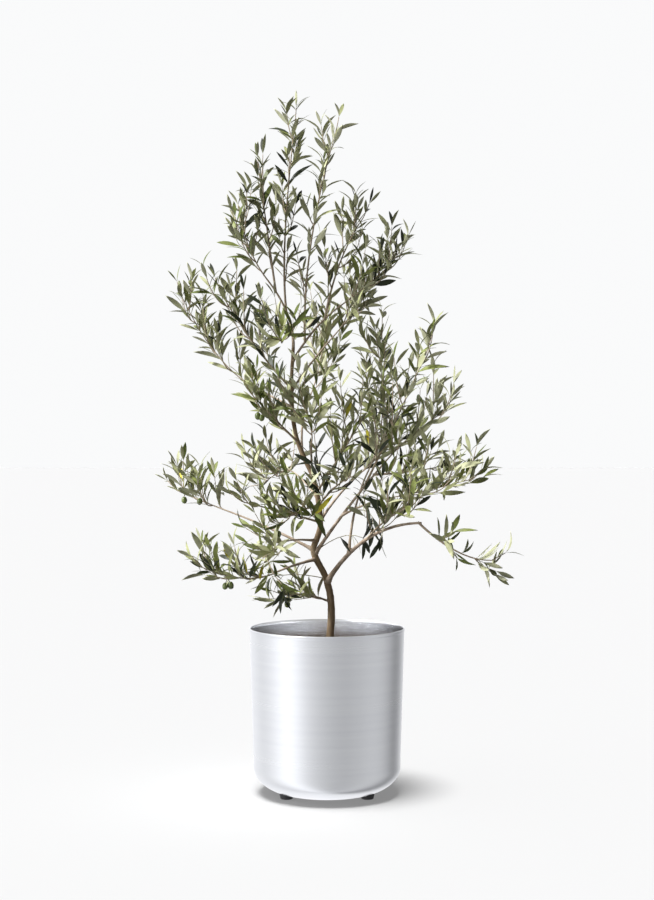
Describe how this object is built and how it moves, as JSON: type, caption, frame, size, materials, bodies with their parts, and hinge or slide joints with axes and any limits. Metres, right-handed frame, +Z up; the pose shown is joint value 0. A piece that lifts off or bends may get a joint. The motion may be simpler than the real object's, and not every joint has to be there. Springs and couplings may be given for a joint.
{
  "type": "potted olive tree",
  "caption": "Young olive tree with a slim leaning trunk and an open crown of narrow grey-green leaves, planted in a round brushed aluminium pot on small rubber feet.",
  "frame": {"origin": "on the floor under the pot's centre line, 4 mm below the pot's flat underside", "axes": "+Z up along the pot's centre line, -Y towards the front view, +X to the right of it"},
  "size_m": [0.8242, 0.5883, 1.5494],
  "materials": {
    "pot_metal": "spun and brushed aluminium, satin, with a folded rim",
    "foot_rubber": "matt black rubber",
    "soil": "damp dark potting soil, crumbly and matt",
    "bark": "thin grey-brown bark with fine lengthwise cracks and lenticels",
    "foliage": "leathery narrow leaves, grey-green above and silvery beneath"
  },
  "bodies": {
    "root": {"bough_back": "bark", "bough_back_left": "bark", "bough_back_right": "bark", "bough_front": "bark", "bough_inner_left": "bark", "bough_low_left": "bark", "bough_low_right": "bark", "bough_mid_left": "bark", "bough_mid_right": "bark", "bough_right": "bark", "bough_right_low": "bark", "bough_riser": "bark", "bough_top_left": "bark", "bough_top_right": "bark", "bough_upper_left": "bark", "foot_back_left": "foot_rubber", "foot_back_right": "foot_rubber", "foot_front_left": "foot_rubber", "foot_front_right": "foot_rubber", "mass_back": "foliage", "mass_back_left": "foliage", "mass_back_right": "foliage", "mass_centre": "foliage", "mass_centre_front": "foliage", "mass_centre_left": "foliage", "mass_centre_low": "foliage", "mass_droop": "foliage", "mass_front": "foliage", "mass_high_left": "foliage", "mass_inner_left": "foliage", "mass_left_high": "foliage", "mass_left_mid": "foliage", "mass_low_front": "foliage", "mass_low_left": "foliage", "mass_lowest": "foliage", "mass_mid_left": "foliage", "mass_mid_right": "foliage", "mass_right": "foliage", "mass_right_edge": "foliage", "mass_right_high": "foliage", "mass_right_low": "foliage", "mass_right_mid": "foliage", "mass_spire": "foliage", "mass_top": "foliage", "mass_top_left": "foliage", "mass_top_right": "foliage", "mass_upper_front": "foliage", "mass_upper_left": "foliage", "mass_upper_right": "foliage", "pot": "pot_metal", "soil": "soil", "trunk": "bark"}
  },
  "joints": []
}
